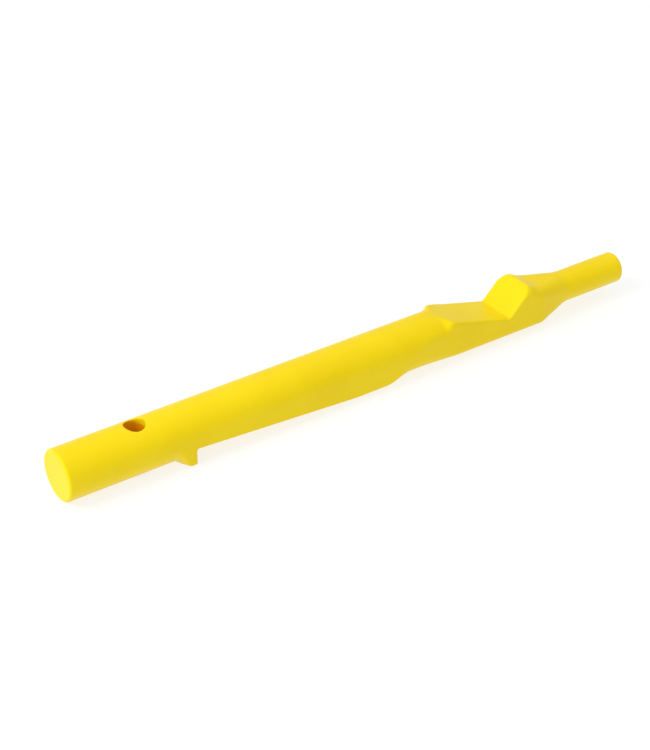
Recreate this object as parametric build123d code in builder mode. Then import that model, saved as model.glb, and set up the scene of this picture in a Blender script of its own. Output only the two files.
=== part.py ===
from build123d import *
import math
import os

# Wedge bar: a round shank, a wedge body with a hook on top, and a turned nose, on one axis.
# Millimetres. The bar lies along +X, +Z is up, and the origin is the centre of the struck face.
# Stations are distances along +X from the struck face.

# Bar and shank
bar_radius = 12.5
shank_length = 56.0
strike_edge = 0.8
cross_hole_radius = 5.0
cross_hole_station = 40.0

# Tang of the shank in the wedge body, set above the axis where the wedge leaves most metal
tang_length = 36.0
tang_width = 12.0
tang_height = 9.0
tang_centre_height = 3.5
tang_clearance = 0.05
tang_dowel_radius = 2.5
tang_dowel_setback = 12.5

# Wedge body: its round top is turned a little under the shank's size
body_relief = 0.2

# Stop tooth, which stands below the bar, and wedge face on the underside
tooth_length = 8.8
tooth_drop = 0.3
tooth_runout_angle = 43.0
tooth_runout_lead = 0.1
wedge_start_depth = 4.7
wedge_end_depth = 10.4
wedge_length = 89.2
land_length = 17.0
step_length = 16.5
lower_edge = 1.0
step_corner = 7.7

# Head: lips, notch ramp, and the hook, which stands above the bar
neck_length = 22.5
head_half_width = 11.1
head_depth = 10.8
head_corner = 4.2
notch_length = 38.0
notch_floor_height = 0.5
notch_ramp_angle = 15.2
hook_stand = 1.4
hook_wall_angle = 45.0
hook_crest = 1.2
hook_back_angle = 42.0
hook_corner = 5.5
shoulder_height = 9.8
shoulder_gap = 3.4

# Taper from the head to the nose, and the turned nose
taper_length = 21.4
nose_radius = 8.0
nose_length = 34.5
nose_edge = 0.8
spigot_radius = 4.5
spigot_length = 24.0
spigot_clearance = 0.02
nose_dowel_radius = 2.0
nose_dowel_setback = 12.0

# Dowels: each stands in a blind hole drilled from the underside
dowel_clearance = 0.02
dowel_roof = 2.5
dowel_recess = 0.2
nose_dowel_recess = 0.4
drill_run = 5.0

# How far a cut's outline stands clear of the metal that it takes away
cut_clearance = 1.0

# Sizes and stations worked out from the ones above
body_radius = bar_radius - body_relief
tooth_depth = bar_radius + tooth_drop
hook_height = bar_radius + hook_stand
tooth_face = shank_length + tooth_length
wedge_end = tooth_face + wedge_length
land_end = wedge_end + land_length
step_end = land_end + step_length
lip = step_end + neck_length
notch_floor = lip + notch_length
hook_rise = hook_height - notch_floor_height
hook_front = notch_floor + hook_rise * math.tan(math.radians(hook_wall_angle))
hook_back = hook_front + hook_crest
shoulder = hook_back + (hook_height - shoulder_height) / math.tan(math.radians(hook_back_angle))
taper_start = shoulder + shoulder_gap
nose_start = taper_start + taper_length
ramp_slope = math.tan(math.radians(notch_ramp_angle))
wedge_slope = (wedge_end_depth - wedge_start_depth) / wedge_length


def section(half_width, depth, corner):
    """Face of the body's round top, flat sides and a flat underside with rounded corners."""
    spring = math.sqrt(body_radius**2 - half_width**2)
    turn = corner * math.sqrt(0.5)
    with BuildLine() as outline:
        right = Line((half_width, spring), (half_width, corner - depth))
        under = Line((half_width - corner, -depth), (corner - half_width, -depth))
        left = Line((-half_width, corner - depth), (-half_width, spring))
        ThreePointArc(right @ 1, (half_width - corner + turn, corner - depth - turn), under @ 0)
        ThreePointArc(under @ 1, (corner - half_width - turn, corner - depth - turn), left @ 0)
        ThreePointArc(left @ 1, (0, body_radius), right @ 0)
    make_face(outline.edges())


# Shank: the struck bar, with its cross hole and its tang
with BuildPart() as shank:
    with BuildSketch(Plane.YZ):
        Circle(bar_radius)
    extrude(amount=shank_length)
    fillet(shank.edges().group_by(Axis.X)[0], strike_edge)
    with BuildSketch(Plane.YZ.offset(shank_length)):
        with Locations((0, tang_centre_height)):
            Rectangle(tang_width, tang_height)
    extrude(amount=tang_length)
    with BuildSketch(Plane.XY.offset(-bar_radius)):
        with Locations((cross_hole_station, 0)):
            Circle(cross_hole_radius)
    extrude(amount=2 * bar_radius, mode=Mode.SUBTRACT)
    with BuildSketch(Plane.XY.offset(-bar_radius)):
        with Locations((tooth_face + tang_dowel_setback, 0)):
            Circle(tang_dowel_radius + dowel_clearance)
    extrude(amount=2 * bar_radius, mode=Mode.SUBTRACT)

# Wedge body: tooth, wedge face, notch, hook and taper in one piece
with BuildPart() as wedge_body:
    # Tooth: the squared bar, where it runs out of the round shank on a cone
    with BuildSketch(Plane.YZ.offset(shank_length)):
        section(body_radius, tooth_depth, lower_edge)
    extrude(amount=tooth_length)
    with BuildSketch(Plane.XZ):
        with BuildLine():
            base = body_radius + tooth_runout_lead
            rise = tooth_length * math.tan(math.radians(tooth_runout_angle))
            Polyline(
                (shank_length, 0),
                (tooth_face, 0),
                (tooth_face, base + rise),
                (shank_length, base),
                close=True,
            )
        make_face()
    revolve(axis=Axis.X, mode=Mode.INTERSECT)
    # Wedge face under the round top, then a land at its full depth
    with BuildSketch(Plane.YZ.offset(tooth_face)):
        section(body_radius, wedge_start_depth, lower_edge)
    with BuildSketch(Plane.YZ.offset(wedge_end)):
        section(body_radius, wedge_end_depth, lower_edge)
    loft(ruled=True)
    with BuildSketch(Plane.YZ.offset(wedge_end)):
        section(body_radius, wedge_end_depth, lower_edge)
    extrude(amount=land_length)
    # The sharp underside runs out into the rounder neck
    with BuildSketch(Plane.YZ.offset(land_end)):
        section(body_radius, wedge_end_depth, lower_edge)
    with BuildSketch(Plane.YZ.offset(step_end)):
        section(body_radius, wedge_end_depth, step_corner)
    with BuildSketch(Plane.YZ.offset(lip)):
        section(head_half_width, head_depth, head_corner)
    loft(ruled=True)
    # Square head: up to the hook in front, and a rounded block behind it
    with BuildSketch(Plane.YZ.offset(lip)) as hook_section:
        with Locations((0, (hook_height - head_depth) / 2)):
            Rectangle(2 * head_half_width, hook_height + head_depth)
        fillet(hook_section.vertices().group_by(Axis.Y)[0], head_corner)
        fillet(hook_section.vertices().group_by(Axis.Y)[-1], hook_corner)
    extrude(amount=shoulder - lip)
    # Behind the hook the top slopes down to the shoulder
    with BuildSketch(Plane.XZ):
        with BuildLine():
            Polyline(
                (hook_back, hook_height),
                (shoulder, shoulder_height),
                (shoulder, hook_height + cut_clearance),
                (hook_back, hook_height + cut_clearance),
                close=True,
            )
        make_face()
    extrude(amount=body_radius, both=True, mode=Mode.SUBTRACT)
    shoulder_size = (2 * head_half_width, shoulder_height + head_depth)
    shoulder_centre = (0, (shoulder_height - head_depth) / 2)
    with BuildSketch(Plane.YZ.offset(hook_back)):
        with Locations(shoulder_centre):
            RectangleRounded(*shoulder_size, head_corner)
    extrude(amount=taper_start - hook_back)
    with BuildSketch(Plane.YZ.offset(taper_start)):
        with Locations(shoulder_centre):
            RectangleRounded(*shoulder_size, head_corner)
    with BuildSketch(Plane.YZ.offset(nose_start)):
        Circle(nose_radius)
    loft(ruled=True)
    # Notch: one ramp that also trims the crown of the neck, and the leaning wall of the hook
    with BuildSketch(Plane.XZ):
        with BuildLine():
            ramp_top = body_radius + cut_clearance
            ramp_start = notch_floor - (ramp_top - notch_floor_height) / ramp_slope
            Polyline(
                (ramp_start, ramp_top),
                (notch_floor, notch_floor_height),
                (hook_front, hook_height),
                (hook_front, hook_height + cut_clearance),
                (ramp_start, hook_height + cut_clearance),
                close=True,
            )
        make_face()
    extrude(amount=body_radius, both=True, mode=Mode.SUBTRACT)
    # Tang slot, nose socket and the two blind dowel holes
    with BuildSketch(Plane.YZ.offset(shank_length)):
        with Locations((0, tang_centre_height)):
            Rectangle(tang_width + 2 * tang_clearance, tang_height + 2 * tang_clearance)
    extrude(amount=tang_length + tang_clearance, mode=Mode.SUBTRACT)
    with BuildSketch(Plane.YZ.offset(nose_start)):
        Circle(spigot_radius + spigot_clearance)
    extrude(amount=-(spigot_length + spigot_clearance), mode=Mode.SUBTRACT)
    for station, radius, roof in (
        (tooth_face + tang_dowel_setback, tang_dowel_radius, body_radius - dowel_roof),
        (nose_start - nose_dowel_setback, nose_dowel_radius, spigot_radius + dowel_roof),
    ):
        with BuildSketch(Plane.XY.offset(roof)):
            with Locations((station, 0)):
                Circle(radius + dowel_clearance)
        extrude(amount=-(roof + tooth_depth + drill_run), mode=Mode.SUBTRACT)

# Nose: the turned pilot and its spigot
with BuildPart() as nose_pilot:
    with BuildSketch(Plane.YZ.offset(nose_start)):
        Circle(nose_radius)
    extrude(amount=nose_length)
    fillet(nose_pilot.edges().group_by(Axis.X)[-1], nose_edge)
    with BuildSketch(Plane.YZ.offset(nose_start - spigot_length)):
        Circle(spigot_radius)
    extrude(amount=spigot_length)
    with BuildSketch(Plane.XY.offset(-bar_radius)):
        with Locations((nose_start - nose_dowel_setback, 0)):
            Circle(nose_dowel_radius + dowel_clearance)
    extrude(amount=2 * bar_radius, mode=Mode.SUBTRACT)

# Dowels, standing on the roofs of their holes and ending just inside the underside
tang_dowel_foot = wedge_start_depth + wedge_slope * (tang_dowel_setback - tang_dowel_radius) - dowel_recess
with BuildPart() as tang_dowel:
    with BuildSketch(Plane.XY.offset(-tang_dowel_foot)):
        with Locations((tooth_face + tang_dowel_setback, 0)):
            Circle(tang_dowel_radius)
    extrude(amount=tang_dowel_foot + body_radius - dowel_roof)

taper_share = nose_dowel_setback / taper_length
nose_dowel_foot = nose_radius + (head_depth - nose_radius) * taper_share - nose_dowel_recess
with BuildPart() as nose_dowel:
    with BuildSketch(Plane.XY.offset(-nose_dowel_foot)):
        with Locations((nose_start - nose_dowel_setback, 0)):
            Circle(nose_dowel_radius)
    extrude(amount=nose_dowel_foot + spigot_radius + dowel_roof)

shank.part.label = "shank"
wedge_body.part.label = "wedge_body"
nose_pilot.part.label = "nose_pilot"
tang_dowel.part.label = "tang_dowel"
nose_dowel.part.label = "nose_dowel"

os.makedirs("parts", exist_ok=True)
for piece in (shank, wedge_body, nose_pilot, tang_dowel, nose_dowel):
    export_step(piece.part, f"parts/{piece.part.label}.step")
    size = piece.part.bounding_box().size
    print(piece.part.label, len(piece.part.solids()), round(piece.part.volume), size)
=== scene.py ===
import math

import bmesh
import bpy
import numpy as np
from mathutils import Matrix, Vector


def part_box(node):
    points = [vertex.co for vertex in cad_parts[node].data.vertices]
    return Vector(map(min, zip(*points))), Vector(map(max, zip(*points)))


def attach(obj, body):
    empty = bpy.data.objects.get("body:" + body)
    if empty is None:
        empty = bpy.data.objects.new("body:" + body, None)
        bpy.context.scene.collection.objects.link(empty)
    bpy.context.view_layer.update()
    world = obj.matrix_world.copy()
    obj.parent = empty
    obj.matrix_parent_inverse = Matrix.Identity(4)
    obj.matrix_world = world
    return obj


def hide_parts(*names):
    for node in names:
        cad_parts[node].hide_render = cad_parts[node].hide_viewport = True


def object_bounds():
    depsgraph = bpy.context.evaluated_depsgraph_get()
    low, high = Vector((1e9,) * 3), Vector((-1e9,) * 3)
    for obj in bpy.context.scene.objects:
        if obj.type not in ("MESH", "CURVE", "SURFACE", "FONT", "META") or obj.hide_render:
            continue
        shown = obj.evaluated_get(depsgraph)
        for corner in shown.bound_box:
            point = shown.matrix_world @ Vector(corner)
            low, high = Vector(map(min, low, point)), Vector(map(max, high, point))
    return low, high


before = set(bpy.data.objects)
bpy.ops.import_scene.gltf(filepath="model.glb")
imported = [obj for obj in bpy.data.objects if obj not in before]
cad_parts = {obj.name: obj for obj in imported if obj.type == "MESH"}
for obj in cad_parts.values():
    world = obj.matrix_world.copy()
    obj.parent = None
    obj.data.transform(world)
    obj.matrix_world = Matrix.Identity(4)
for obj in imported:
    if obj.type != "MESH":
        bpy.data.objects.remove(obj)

cad_low, cad_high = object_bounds()

# The pieces' shapes are written in millimetres; the scene is in metres.
MM = 0.001
ROOT = "root"


def cad_box(node):
    """Lowest and highest corner of a CAD node, in millimetres."""
    low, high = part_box(node)
    return np.array(low) / MM, np.array(high) / MM


shank_low, shank_high = cad_box("shank")
body_low, body_high = cad_box("wedge_body")
nose_low, nose_high = cad_box("nose_pilot")
tang_dowel_low, tang_dowel_high = cad_box("tang_dowel")
nose_dowel_low, nose_dowel_high = cad_box("nose_dowel")

# Sizes from the frame. Stations are distances along +X from the struck face.
BAR_RADIUS = shank_high[2]
BODY_START = body_low[0]
BODY_END = body_high[0]
TANG_END = shank_high[0]
TOOTH_DEPTH = -body_low[2]
HOOK_HEIGHT = body_high[2]
NOSE_RADIUS = nose_high[2]
NOSE_END = nose_high[0]
SPIGOT_START = nose_low[0]

# Shank
STRIKE_EDGE = 1.3
CROSS_HOLE_STATION = 40.0
CROSS_HOLE_RADIUS = 5.0
CROSS_HOLE_EDGE = 0.5
TANG_WIDTH = 12.0
TANG_HEIGHT = 9.0
TANG_CENTRE_HEIGHT = 3.5
TANG_CLEARANCE = 0.05
TANG_LAP = 2.0

# Tooth and wedge face
TOOTH_FACE = BODY_START + 8.8
TOOTH_EDGE = 0.8
TOOTH_ROOT = 1.2
RUNOUT_ANGLE = math.radians(47)
RUNOUT_FILLET = 1.2
RUNOUT_EDGE = 0.6
# The round bar runs on inside the tooth to this far before its face, and the tooth's own shape is
# used to this far beyond it
BAR_LAP = 1.0
TOOTH_REACH = 5.0
WEDGE_LENGTH = 89.2
WEDGE_START_DEPTH = 4.7
WEDGE_END_DEPTH = 10.4
LOWER_EDGE = 1.0
WEDGE_END = TOOTH_FACE + WEDGE_LENGTH

# Land, step and neck
LAND_END = WEDGE_END + 17.0
STEP_END = LAND_END + 16.5
STEP_EDGE = 7.7
LIP = STEP_END + 22.5
DRAW_IN_LEAD = 4.0
NECK_EDGE = 1.5
LIP_ANGLE = math.radians(62)
LIP_FILLET = 2.5

# Head and notch
HEAD_HALF_WIDTH = 11.2
HEAD_DEPTH = 10.8
HEAD_EDGE = 4.2
HEAD_EDGE_LEAD = 10.0
NOTCH_FLOOR = LIP + 38.0
NOTCH_FLOOR_HEIGHT = 0.5
NOTCH_ROOT = 0.8
RAMP_ANGLE = math.radians(15.2)
RAMP_EDGE = 1.2
LIP_RISE = 0.4
LIP_RUN = 14.0
WALL_ANGLE = math.radians(45)

# Hook, shoulder and taper
HOOK_CREST = 1.2
HOOK_RISE = HOOK_HEIGHT - NOTCH_FLOOR_HEIGHT
HOOK_BACK = NOTCH_FLOOR + HOOK_RISE * math.tan(WALL_ANGLE) + HOOK_CREST
HOOK_EDGE = 1.8
HOOK_CORNER = 5.6
HOOK_CROWN = 160.0
BACK_ANGLE = math.radians(42)
SHOULDER_HEIGHT = 9.8
SHOULDER_CORNER = 5.6
SHOULDER_BLEND = 3.0
TAPER_START = BODY_END - 21.4
TAPER_BLEND = 6.0

# Nose
NOSE_EDGE = 1.2
NOSE_FACE_RINGS = (0.6, 0.3)
SPIGOT_RADIUS = 4.5
SPIGOT_CLEARANCE = 0.02
SOCKET_LAP = 2.0

# Dowels and their holes, which run out below the underside
DOWEL_CLEARANCE = 0.02
DOWEL_EDGE = 0.3
DRILL_RUN = 5.0

# Surface mesh: cell size along, across and up, and how far the grid stands clear of the piece
CELL = np.array([0.6, 0.5, 0.5])
MARGIN = 1.5
SETTLE_ROUNDS = 4
SETTLE_STEPS = 2
SETTLE_SHARE = 0.5
GRADIENT_STEP = 0.01
LEAST_SLOPE = 0.2
LEAST_REACH = 0.01
SHARP_ANGLE = math.radians(40)

# Turned meshes: points around, points on a rounded edge, and rings along the nose
TURNED_SEGMENTS = 160
DOWEL_SEGMENTS = 64
NOSE_EDGE_POINTS = 9
DOWEL_EDGE_POINTS = 5
NOSE_RINGS = 30

# Painted shade down the cross hole: the coat's colour is deepened to orange, standing in for light
# bounced between the hole's yellow walls, within this radius, and fading out over this run beyond
# it; none above the top height and full below the floor height, and both heights drop towards the
# nose by the lean
HOLE_SHADE_RADIUS = CROSS_HOLE_RADIUS + 0.1
HOLE_SHADE_RADIUS_RUN = 0.3
HOLE_SHADE_TOP = 11.4
HOLE_SHADE_FLOOR = 10.0
HOLE_SHADE_LEAN = 0.35

# Stage, in metres, with the camera's sensor in millimetres
FLOOR_HALF_SIZE = 6.0
FLOOR_DROP = 0.0001
AIM = Vector((0.1435, 0, 0))
CAMERA_SENSOR = 36.0
CAMERA_CLIP_START = 0.01
# Height on the sky's unit sphere where the white band at the horizon starts to fade, and ends
BAND_START = 0.035
BAND_END = 0.09


# ---- Shapes as signed distances: negative inside ----

def round_edge(a, b, radius):
    """Intersection of two solids, with their edge rounded."""
    beyond = np.hypot(np.maximum(a + radius, 0), np.maximum(b + radius, 0))
    return np.minimum(-radius, np.maximum(a, b)) + beyond


def round_root(a, b, radius):
    """Union of two solids, with a fillet where they meet."""
    beyond = np.hypot(np.maximum(radius - a, 0), np.maximum(radius - b, 0))
    return np.maximum(radius, np.minimum(a, b)) - beyond


def soft_edge(a, b, reach):
    """Intersection of two solids that meet at a shallow angle, with the edge eased over a reach."""
    near = np.maximum(reach - np.abs(a - b), 0)
    return np.maximum(a, b) + near * near / (4 * np.maximum(reach, LEAST_REACH))


def mix(a, b, share):
    return a + (b - a) * share


def ease(x, start, end):
    """0 before start and 1 after end, with no corner at either."""
    t = np.clip((x - start) / (end - start), 0, 1)
    return t * t * (3 - 2 * t)


def run_down(x, start, end, blend):
    """0 to 1 on a straight line that levels out over its last stretch."""
    slope = 1 / (end - start - blend / 2)
    left = np.clip(end - x, 0, blend)
    curved = 1 - slope * left**2 / (2 * blend)
    return np.clip(np.where(x < end - blend, (x - start) * slope, curved), 0, 1)


def underside(x, z):
    """The tooth, the wedge face with a fillet at its root, and the depth from there on."""
    wedge = mix(WEDGE_START_DEPTH, WEDGE_END_DEPTH, np.clip((x - TOOTH_FACE) / WEDGE_LENGTH, 0, 1))
    depth = mix(wedge, HEAD_DEPTH, ease(x, STEP_END, LIP))
    depth = mix(depth, NOSE_RADIUS, run_down(x, TAPER_START, BODY_END, TAPER_BLEND))
    tooth = round_edge(x - TOOTH_FACE, -z - TOOTH_DEPTH, TOOTH_EDGE)
    return round_root(tooth, -z - depth, TOOTH_ROOT)


def roof(x, y, z):
    """Top of the hook, the slope behind it, and the shoulder that runs down to the nose."""
    top = z + y * y / HOOK_CROWN - HOOK_HEIGHT
    back = (x - HOOK_BACK) * math.sin(BACK_ANGLE) + (z - HOOK_HEIGHT) * math.cos(BACK_ANGLE)
    shoulder = mix(SHOULDER_HEIGHT, NOSE_RADIUS, run_down(x, TAPER_START, BODY_END, TAPER_BLEND))
    return round_root(round_edge(top, back, HOOK_EDGE), z - shoulder, SHOULDER_BLEND)


def notch(x, z):
    """The space over the ramp and in front of the leaning wall."""
    rise = (NOTCH_FLOOR - x) * math.sin(RAMP_ANGLE) + LIP_RISE * (1 - ease(x, LIP, LIP + LIP_RUN))
    over_ramp = rise - (z - NOTCH_FLOOR_HEIGHT) * math.cos(RAMP_ANGLE)
    run = (x - NOTCH_FLOOR) * math.cos(WALL_ANGLE)
    before_wall = run - (z - NOTCH_FLOOR_HEIGHT) * math.sin(WALL_ANGLE)
    return round_edge(over_ramp, before_wall, NOTCH_ROOT)


def run_out(x, y, z):
    """The cone on which the squared tooth rises out of the round bar, with a fillet at its foot."""
    along = np.maximum(x - BODY_START, 0)
    turn = RUNOUT_FILLET * math.sin(RUNOUT_ANGLE)
    arc = RUNOUT_FILLET - np.sqrt(RUNOUT_FILLET**2 - np.minimum(along, turn) ** 2)
    radius = BAR_RADIUS + arc + np.maximum(along - turn, 0) * math.tan(RUNOUT_ANGLE)
    return (np.hypot(y, z) - radius) * math.cos(RUNOUT_ANGLE)


def body_distance(x, y, z):
    taper = run_down(x, TAPER_START, BODY_END, TAPER_BLEND)
    drawn_in = ease(x, STEP_END - DRAW_IN_LEAD, LIP)
    half_width = mix(mix(BAR_RADIUS, HEAD_HALF_WIDTH, drawn_in), NOSE_RADIUS, taper)
    upper_corner = mix(HOOK_CORNER, SHOULDER_CORNER, ease(x, HOOK_BACK, TAPER_START))
    lower_corner = mix(LOWER_EDGE, STEP_EDGE, ease(x, LAND_END, STEP_END))
    lower_corner = mix(lower_corner, HEAD_EDGE, ease(x, STEP_END, LIP + HEAD_EDGE_LEAD))
    solid = np.abs(y) - half_width
    solid = round_edge(solid, roof(x, y, z), mix(upper_corner, NOSE_RADIUS, taper))
    solid = round_edge(solid, underside(x, z), mix(lower_corner, NOSE_RADIUS, taper))
    # Before the lips the top is round; beyond them it is free to rise to the square head
    around = np.hypot(y, np.maximum(z, 0)) - BAR_RADIUS
    beyond = around * math.cos(LIP_ANGLE) - (x - LIP) * math.sin(LIP_ANGLE)
    crown = round_root(around, beyond, LIP_FILLET)
    solid = soft_edge(solid, crown, NECK_EDGE * drawn_in)
    solid = soft_edge(solid, -notch(x, z), RAMP_EDGE)
    # At its start the body is the round bar
    squared = round_edge(solid, run_out(x, y, z), RUNOUT_EDGE)
    bar = np.maximum(np.hypot(y, z) - BAR_RADIUS, x - TOOTH_FACE + BAR_LAP)
    return np.where(x < TOOTH_FACE + TOOTH_REACH, np.minimum(squared, bar), solid)


def shank_distance(x, y, z):
    solid = round_edge(np.hypot(y, z) - BAR_RADIUS, -x, STRIKE_EDGE)
    hole = np.hypot(x - CROSS_HOLE_STATION, y) - CROSS_HOLE_RADIUS
    return round_edge(solid, -hole, CROSS_HOLE_EDGE)


# ---- Meshes ----

def slope_of(distance, points):
    """Gradient of a distance at some points."""
    parts = []
    for axis in np.eye(3) * GRADIENT_STEP:
        parts.append(distance(*(points + axis).T) - distance(*(points - axis).T))
    return np.stack(parts, axis=1) / (2 * GRADIENT_STEP)


def settle(distance, points):
    """Moves points along the gradient onto the surface."""
    for _ in range(SETTLE_STEPS):
        slope = slope_of(distance, points)
        size = np.maximum((slope**2).sum(axis=1), LEAST_SLOPE)
        points = points - slope * (distance(*points.T) / size)[:, None]
    return points


def surface_net(distance, low, high):
    """Even quads over the surface of a distance, one vertex to each grid cell that it crosses."""
    counts = np.ceil((high - low) / CELL).astype(int) + 1
    grid = [low[i] + CELL[i] * np.arange(counts[i]) for i in range(3)]
    values = distance(*np.meshgrid(*grid, indexing="ij"))
    number = np.full(counts, -1)
    sums = np.zeros((*counts, 3))
    hits = np.zeros(counts)
    quads = []
    inside = values < 0
    for axis in range(3):
        first = [slice(1, -1)] * 3
        second = [slice(1, -1)] * 3
        first[axis], second[axis] = slice(0, -1), slice(1, None)
        crossed = inside[tuple(first)] != inside[tuple(second)]
        cell = np.argwhere(crossed) + np.array([0 if i == axis else 1 for i in range(3)])
        ahead = cell.copy()
        ahead[:, axis] += 1
        a, b = values[tuple(cell.T)], values[tuple(ahead.T)]
        point = low + CELL * cell
        point[:, axis] += CELL[axis] * a / (a - b)
        u, v = np.eye(3, dtype=int)[(axis + 1) % 3], np.eye(3, dtype=int)[(axis + 2) % 3]
        around = [cell, cell - u, cell - u - v, cell - v]
        for c in around:
            np.add.at(sums, tuple(c.T), point)
            np.add.at(hits, tuple(c.T), 1)
        ring = np.stack(around, axis=1)
        quads.append(np.where((a < 0)[:, None, None], ring, ring[:, ::-1]))
    used = hits > 0
    number[used] = np.arange(used.sum())
    points = sums[used] / hits[used][:, None]
    faces = number[tuple(np.concatenate(quads).transpose(2, 0, 1))]
    # Even out the quads along the surface, staying on it
    ends = np.concatenate([faces[:, [i, (i + 1) % 4]] for i in range(4)])
    shared = np.bincount(ends[:, 0], minlength=len(points))[:, None]
    for _ in range(SETTLE_ROUNDS):
        points = settle(distance, points)
        middle = np.zeros_like(points)
        np.add.at(middle, ends[:, 0], points[ends[:, 1]])
        points = mix(points, middle / shared, SETTLE_SHARE)
    return settle(distance, points), faces


def net_mesh(distance, low, high):
    """bmesh of a distance's surface, in metres."""
    points, faces = surface_net(distance, np.array(low) - MARGIN, np.array(high) + MARGIN)
    bm = bmesh.new()
    verts = [bm.verts.new(p) for p in points * MM]
    for face in faces:
        bm.faces.new([verts[i] for i in face])
    return bm


def cut_square(bm, station, keep_before):
    """Cuts a mesh off square at a station and closes it with a flat face."""
    side = 1 if keep_before else -1
    cut = bmesh.ops.bisect_plane(
        bm,
        geom=bm.verts[:] + bm.edges[:] + bm.faces[:],
        plane_co=(station * MM, 0, 0),
        plane_no=(side, 0, 0),
        clear_outer=True,
    )
    rim = [e for e in cut["geom_cut"] if isinstance(e, bmesh.types.BMEdge)]
    bmesh.ops.contextual_create(bm, geom=rim)


def finished(name, bm):
    """Object of a bmesh, smooth but for its sharp corners."""
    bmesh.ops.recalc_face_normals(bm, faces=bm.faces)
    mesh = bpy.data.meshes.new(name)
    bm.to_mesh(mesh)
    bm.free()
    mesh.shade_smooth()
    mesh.set_sharp_from_angle(angle=SHARP_ANGLE)
    piece = bpy.data.objects.new(name, mesh)
    bpy.context.collection.objects.link(piece)
    return piece


def turned(profile, segments=TURNED_SEGMENTS):
    """bmesh of a closed profile of (station, radius) points turned about the bar's axis."""
    bm = bmesh.new()
    rings = []
    for station, radius in profile:
        if radius == 0:
            rings.append([bm.verts.new((station * MM, 0, 0))] * segments)
            continue
        ring = []
        for i in range(segments):
            a = math.tau * i / segments
            across, up = radius * math.cos(a), radius * math.sin(a)
            ring.append(bm.verts.new((station * MM, across * MM, up * MM)))
        rings.append(ring)
    for lower, upper in zip(rings, rings[1:]):
        for i in range(segments):
            j = (i + 1) % segments
            corners = dict.fromkeys((lower[i], lower[j], upper[j], upper[i]))
            bm.faces.new(list(corners))
    return bm


def block(low, high):
    """bmesh of a plain block, to cut a slot or stand as a tang."""
    bm = bmesh.new()
    bmesh.ops.create_cube(bm, size=1)
    size = (np.array(high) - np.array(low)) * MM
    centre = (np.array(high) + np.array(low)) / 2 * MM
    bmesh.ops.scale(bm, vec=size, verts=bm.verts)
    bmesh.ops.translate(bm, vec=centre, verts=bm.verts)
    return bm


def combine(piece, bm, operation):
    """Joins a mesh to a piece, or takes it away."""
    tool = finished("tool", bm)
    change = piece.modifiers.new(operation, "BOOLEAN")
    change.operation = operation
    change.solver = "EXACT"
    change.object = tool
    seen = piece.evaluated_get(bpy.context.evaluated_depsgraph_get())
    made = bpy.data.meshes.new_from_object(seen)
    piece.modifiers.clear()
    piece.data = made
    bpy.data.objects.remove(tool)


def upright(bm, station, base):
    """Stands a turned mesh on the bar's upright mid plane."""
    turn = Matrix.Translation((station * MM, 0, base * MM)) @ Matrix.Rotation(-math.pi / 2, 4, "Y")
    bmesh.ops.transform(bm, matrix=turn, verts=bm.verts)
    return bm


def rod(length, radius, edge):
    """Profile of a round rod from station 0, with rounded ends."""
    arc = np.linspace(0, math.pi / 2, DOWEL_EDGE_POINTS)
    start = [(edge * (1 - math.sin(a)), radius - edge * (1 - math.cos(a))) for a in arc[::-1]]
    end = [(length - edge * (1 - math.sin(a)), radius - edge * (1 - math.cos(a))) for a in arc]
    return [(0, 0), *start, *end, (length, 0)]


def tang(grow):
    half_width, half_height = TANG_WIDTH / 2 + grow, TANG_HEIGHT / 2 + grow
    low = (BODY_START - TANG_LAP, -half_width, TANG_CENTRE_HEIGHT - half_height)
    return block(low, (TANG_END + grow, half_width, TANG_CENTRE_HEIGHT + half_height))


def dowel_hole(low, high):
    """Upright hole for a dowel, from its top down out of the underside."""
    radius = (high[0] - low[0]) / 2 + DOWEL_CLEARANCE
    length = high[2] - low[2] + DRILL_RUN
    profile = [(0, 0), (0, radius), (length, radius), (length, 0)]
    return upright(turned(profile, DOWEL_SEGMENTS), (low[0] + high[0]) / 2, low[2] - DRILL_RUN)


def build_shank():
    bm = net_mesh(shank_distance, shank_low, (BODY_START, *shank_high[1:]))
    cut_square(bm, BODY_START, keep_before=True)
    piece = finished("shank_bar", bm)
    combine(piece, tang(0), "UNION")
    combine(piece, dowel_hole(tang_dowel_low, tang_dowel_high), "DIFFERENCE")
    return piece


def build_body():
    low = (BODY_START, -BAR_RADIUS, -TOOTH_DEPTH)
    bm = net_mesh(body_distance, low, (BODY_END, BAR_RADIUS, HOOK_HEIGHT))
    cut_square(bm, BODY_START, keep_before=False)
    cut_square(bm, BODY_END, keep_before=True)
    piece = finished("wedge_forging", bm)
    combine(piece, tang(TANG_CLEARANCE), "DIFFERENCE")
    depth = BODY_END - SPIGOT_START + SPIGOT_CLEARANCE
    radius = SPIGOT_RADIUS + SPIGOT_CLEARANCE
    end = depth + SOCKET_LAP
    socket = turned([(0, 0), (0, radius), (end, radius), (end, 0)])
    bmesh.ops.translate(socket, vec=((BODY_END - depth) * MM, 0, 0), verts=socket.verts)
    combine(piece, socket, "DIFFERENCE")
    combine(piece, dowel_hole(tang_dowel_low, tang_dowel_high), "DIFFERENCE")
    combine(piece, dowel_hole(nose_dowel_low, nose_dowel_high), "DIFFERENCE")
    return piece


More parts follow.
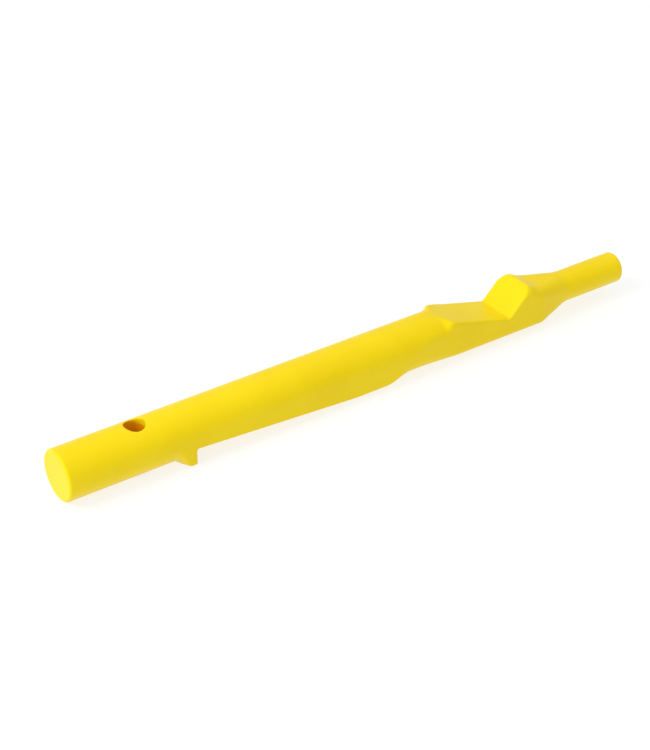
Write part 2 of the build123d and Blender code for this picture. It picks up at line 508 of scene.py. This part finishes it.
def build_nose():
    tip = []
    for a in np.linspace(0, math.pi / 2, NOSE_EDGE_POINTS):
        station = NOSE_END - NOSE_EDGE * (1 - math.sin(a))
        tip.append((station, NOSE_RADIUS - NOSE_EDGE * (1 - math.cos(a))))
    stations = np.linspace(BODY_END, NOSE_END - NOSE_EDGE, NOSE_RINGS)[:-1]
    barrel = [(station, NOSE_RADIUS) for station in stations]
    spigot = [(SPIGOT_START, 0), (SPIGOT_START, SPIGOT_RADIUS), (BODY_END, SPIGOT_RADIUS)]
    face = [(NOSE_END, NOSE_RADIUS * share) for share in NOSE_FACE_RINGS]
    piece = finished("nose_turning", turned([*spigot, *barrel, *tip, *face, (NOSE_END, 0)]))
    combine(piece, dowel_hole(nose_dowel_low, nose_dowel_high), "DIFFERENCE")
    return piece


def build_dowel(name, low, high):
    radius = (high[0] - low[0]) / 2
    bm = turned(rod(high[2] - low[2], radius, DOWEL_EDGE), DOWEL_SEGMENTS)
    return finished(name, upright(bm, (low[0] + high[0]) / 2, low[2]))


# ---- Materials ----

def new_material(name):
    material = bpy.data.materials.new(name)
    material.use_nodes = True
    nodes = material.node_tree.nodes
    return material, nodes, material.node_tree.links, nodes["Principled BSDF"]


def noise(nodes, links, where, scale, detail, rough):
    node = nodes.new("ShaderNodeTexNoise")
    node.inputs["Scale"].default_value = scale
    node.inputs["Detail"].default_value = detail
    node.inputs["Roughness"].default_value = rough
    links.new(where, node.inputs["Vector"])
    return node.outputs["Fac"]


def ranged(nodes, links, value, source, target):
    """Maps a value from one range to another, clamped."""
    node = nodes.new("ShaderNodeMapRange")
    node.inputs["From Min"].default_value, node.inputs["From Max"].default_value = source
    node.inputs["To Min"].default_value, node.inputs["To Max"].default_value = target
    links.new(value, node.inputs["Value"])
    return node.outputs["Result"]


def computed(nodes, links, operation, *terms):
    """Arithmetic on sockets and plain numbers."""
    node = nodes.new("ShaderNodeMath")
    node.operation = operation
    for slot, term in zip(node.inputs, terms):
        if isinstance(term, (int, float)):
            slot.default_value = term
        else:
            links.new(term, slot)
    return node.outputs["Value"]


def blended(nodes, links, share, a, b):
    node = nodes.new("ShaderNodeMix")
    node.data_type = "RGBA"
    links.new(share, node.inputs["Factor"])
    for socket, colour in (("A", a), ("B", b)):
        target = [s for s in node.inputs if s.name == socket and s.type == "RGBA"][0]
        if isinstance(colour, tuple):
            target.default_value = (*colour, 1)
        else:
            links.new(colour, target)
    return [s for s in node.outputs if s.type == "RGBA"][0]


def bumped(nodes, links, height, distance, strength, below=None):
    node = nodes.new("ShaderNodeBump")
    node.inputs["Distance"].default_value = distance
    node.inputs["Strength"].default_value = strength
    links.new(height, node.inputs["Height"])
    if below:
        links.new(below, node.inputs["Normal"])
    return node.outputs["Normal"]


def painted_hole_shade(nodes, links, where, colour):
    """Paints shade into a colour down the cross hole: deepens it to orange, standing in for the
    coat's light bounced between the hole's walls.
    """
    split = nodes.new("ShaderNodeSeparateXYZ")
    links.new(where, split.inputs["Vector"])
    along = computed(nodes, links, "SUBTRACT", split.outputs["X"], CROSS_HOLE_STATION * MM)
    flat = nodes.new("ShaderNodeCombineXYZ")
    links.new(along, flat.inputs["X"])
    links.new(split.outputs["Y"], flat.inputs["Y"])
    radius = nodes.new("ShaderNodeVectorMath")
    radius.operation = "LENGTH"
    links.new(flat.outputs["Vector"], radius.inputs[0])
    outer = HOLE_SHADE_RADIUS + HOLE_SHADE_RADIUS_RUN
    inside = (HOLE_SHADE_RADIUS * MM, outer * MM)
    near = ranged(nodes, links, radius.outputs["Value"], inside, (1, 0))
    height = computed(nodes, links, "MULTIPLY_ADD", along, HOLE_SHADE_LEAN, split.outputs["Z"])
    deep = ranged(nodes, links, height, (HOLE_SHADE_FLOOR * MM, HOLE_SHADE_TOP * MM), (1, 0))
    share = computed(nodes, links, "MULTIPLY", near, deep)
    # Painted shade: this orange stands in for light bounced between the hole's yellow walls
    return blended(nodes, links, share, colour, (0.80, 0.35, 0.0))


def yellow_coat():
    material, nodes, links, shader = new_material("yellow_coat")
    where = nodes.new("ShaderNodeTexCoord").outputs["Object"]
    broad = noise(nodes, links, where, scale=35, detail=3, rough=0.5)
    peel = noise(nodes, links, where, scale=900, detail=2, rough=0.5)
    grain = noise(nodes, links, where, scale=4200, detail=3, rough=0.6)
    waves = noise(nodes, links, where, scale=110, detail=2, rough=0.4)
    tone = ranged(nodes, links, broad, (0.35, 0.65), (0, 1))
    colour = blended(nodes, links, tone, (0.85, 0.630, 0.0025), (0.88, 0.665, 0.004))
    # The base colour carries painted shade down the cross hole
    links.new(painted_hole_shade(nodes, links, where, colour), shader.inputs["Base Color"])
    roughness = ranged(nodes, links, peel, (0.3, 0.7), (0.33, 0.42))
    links.new(roughness, shader.inputs["Roughness"])
    shader.inputs["Specular Tint"].default_value = (1.0, 0.92, 0.45, 1)
    normal = bumped(nodes, links, waves, distance=0.0004, strength=0.12)
    normal = bumped(nodes, links, peel, distance=0.00006, strength=0.35, below=normal)
    normal = bumped(nodes, links, grain, distance=0.00001, strength=0.4, below=normal)
    links.new(normal, shader.inputs["Normal"])
    shader.inputs["IOR"].default_value = 1.33
    return material


def ground_steel():
    material, nodes, links, shader = new_material("dowel_steel")
    where = nodes.new("ShaderNodeTexCoord").outputs["Object"]
    streaks = noise(nodes, links, where, scale=2500, detail=4, rough=0.6)
    tone = noise(nodes, links, where, scale=400, detail=2, rough=0.5)
    colour = blended(nodes, links, tone, (0.42, 0.42, 0.43), (0.60, 0.60, 0.60))
    links.new(colour, shader.inputs["Base Color"])
    roughness = ranged(nodes, links, streaks, (0.3, 0.7), (0.28, 0.42))
    links.new(roughness, shader.inputs["Roughness"])
    normal = bumped(nodes, links, streaks, distance=0.00002, strength=0.5)
    links.new(normal, shader.inputs["Normal"])
    shader.inputs["Metallic"].default_value = 1
    return material


def floor_finish():
    material, nodes, links, shader = new_material("studio_floor")
    shader.inputs["Base Color"].default_value = (0.25, 0.25, 0.25, 1)
    shader.inputs["Roughness"].default_value = 0.9
    shader.inputs["Specular IOR Level"].default_value = 0.1
    shader.inputs["Emission Color"].default_value = (1, 1, 1, 1)
    shader.inputs["Emission Strength"].default_value = 0.75
    return material


# ---- Stage ----

def add_floor(height):
    bm = bmesh.new()
    bmesh.ops.create_grid(bm, x_segments=4, y_segments=4, size=FLOOR_HALF_SIZE)
    bmesh.ops.translate(bm, vec=(0, 0, height), verts=bm.verts)
    floor = finished("studio_floor", bm)
    floor.data.materials.append(floor_finish())


def facing(azimuth, elevation):
    """Direction from the aim back to a lamp or camera, and the turn that faces it to the aim."""
    a, e = math.radians(azimuth), math.radians(elevation)
    back = Vector((math.sin(a) * math.cos(e), -math.cos(a) * math.cos(e), math.sin(e)))
    return back, (-back).to_track_quat("-Z", "Y")


def add_softbox(name, aim, azimuth, elevation, distance, size, power):
    """Square area light that faces aim from a direction."""
    back, turn = facing(azimuth, elevation)
    light = bpy.data.lights.new(name, "AREA")
    light.shape = "SQUARE"
    light.size = size
    light.energy = power
    lamp = bpy.data.objects.new(name, light)
    lamp.location = aim + back * distance
    lamp.rotation_mode = "QUATERNION"
    lamp.rotation_quaternion = turn
    bpy.context.collection.objects.link(lamp)


def add_sky(horizon, zenith):
    world = bpy.data.worlds.new("studio")
    world.use_nodes = True
    background = world.node_tree.nodes["Background"]
    background.inputs["Color"].default_value = (1, 1, 1, 1)
    nodes, links = world.node_tree.nodes, world.node_tree.links
    height = nodes.new("ShaderNodeSeparateXYZ")
    links.new(nodes.new("ShaderNodeTexCoord").outputs["Generated"], height.inputs["Vector"])
    graded = ranged(nodes, links, height.outputs["Z"], (0, 1), (horizon, zenith))
    # A thin white band at the horizon, so that the floor runs into a white sky in low views
    fade = (BAND_START, BAND_END)
    band = ranged(nodes, links, height.outputs["Z"], fade, (1 - horizon, 0))
    total = computed(nodes, links, "ADD", graded, band)
    links.new(total, background.inputs["Strength"])
    bpy.context.scene.world = world


def add_camera(aim, azimuth, elevation, distance, lens):
    back, turn = facing(azimuth, elevation)
    camera = bpy.data.cameras.new("camera")
    camera.lens = lens
    camera.sensor_width = CAMERA_SENSOR
    camera.clip_start = CAMERA_CLIP_START
    holder = bpy.data.objects.new("camera", camera)
    holder.location = aim + back * distance
    holder.rotation_mode = "QUATERNION"
    holder.rotation_quaternion = turn
    bpy.context.collection.objects.link(holder)
    bpy.context.scene.camera = holder


# ---- The object ----

finishes = {"yellow_coat": yellow_coat(), "dowel_steel": ground_steel()}
for piece, node, slot in (
    (build_shank(), "shank", "yellow_coat"),
    (build_body(), "wedge_body", "yellow_coat"),
    (build_nose(), "nose_pilot", "yellow_coat"),
    (build_dowel("tang_pin", tang_dowel_low, tang_dowel_high), "tang_dowel", "dowel_steel"),
    (build_dowel("nose_pin", nose_dowel_low, nose_dowel_high), "nose_dowel", "dowel_steel"),
):
    piece.data.materials.clear()
    piece.data.materials.append(finishes[slot])
    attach(piece, ROOT)
    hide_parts(node)

add_floor(cad_low[2] - FLOOR_DROP)
add_sky(horizon=0.30, zenith=1.05)
add_softbox("key", AIM, azimuth=-101, elevation=45, distance=2.4, size=1.2, power=29)
add_softbox("fill", AIM, azimuth=-78, elevation=12, distance=2.0, size=0.8, power=5)
add_camera(AIM, azimuth=-34.99, elevation=32.635, distance=0.897, lens=90.7)
bpy.context.scene.view_settings.view_transform = "Standard"
